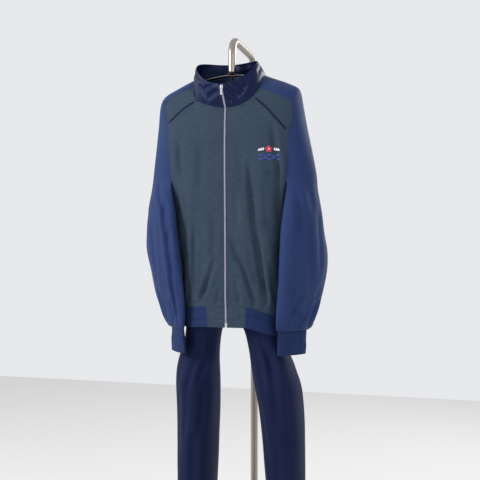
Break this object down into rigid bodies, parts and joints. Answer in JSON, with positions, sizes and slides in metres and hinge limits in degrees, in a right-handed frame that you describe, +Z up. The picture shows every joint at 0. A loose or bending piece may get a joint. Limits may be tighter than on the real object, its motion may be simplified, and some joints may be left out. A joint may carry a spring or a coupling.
{
  "type": "tracksuit on a garment stand",
  "caption": "Zip-front tracksuit jacket with raglan sleeves and knitted trousers, hanging on a garment display stand.",
  "frame": {"origin": "on the floor, on the underside of the stand's base, under the middle of the shoulder bar", "axes": "+Z up, the jacket's front faces -Y, +X to the viewer's right, which is the wearer's left"},
  "size_m": [0.5287, 0.44, 1.6307],
  "materials": {
    "slate_knit": "knitted polyester, soft sheen",
    "blue_knit": "knitted polyester, soft sheen",
    "navy_knit": "knitted polyester, soft sheen",
    "collar_knit": "smooth knitted polyester, satin sheen",
    "trouser_knit": "knitted polyester, matt",
    "zip_tape": "moulded coil teeth",
    "zip_metal": "polished",
    "stand_tube": "satin",
    "stand_plate": "matt powder coat",
    "clip_metal": "satin"
  },
  "bodies": {
    "root": {"front_left": "slate_knit", "front_right": "slate_knit", "yoke_left": "slate_knit", "yoke_right": "slate_knit", "back": "slate_knit", "hem_front_left": "slate_knit", "hem_front_right": "slate_knit", "sleeve_left": "blue_knit", "sleeve_right": "blue_knit", "piping_left": "blue_knit", "piping_right": "blue_knit", "cuff_left": "navy_knit", "cuff_right": "navy_knit", "hem_band": "navy_knit", "collar": "collar_knit", "leg_front_left": "trouser_knit", "leg_back_left": "trouser_knit", "leg_front_right": "trouser_knit", "leg_back_right": "trouser_knit", "waistband": "trouser_knit", "zip_chain": "zip_tape", "zip_box": "zip_metal", "zip_slider": "zip_metal", "stand_post": "stand_tube", "shoulder_bar": "stand_tube", "trouser_bar": "stand_tube", "stand_base": "stand_plate", "clip_left": "clip_metal", "clip_right": "clip_metal"},
    "pull": {"pull_tab": "zip_metal"}
  },
  "joints": [
    {"name": "pull_swing", "type": "hinge", "parent": "root", "child": "pull", "pos_m": [-0.00667, -0.08368, 1.46856], "axis": [-1, 0, 0], "range_deg": [0, 170]}
  ]
}
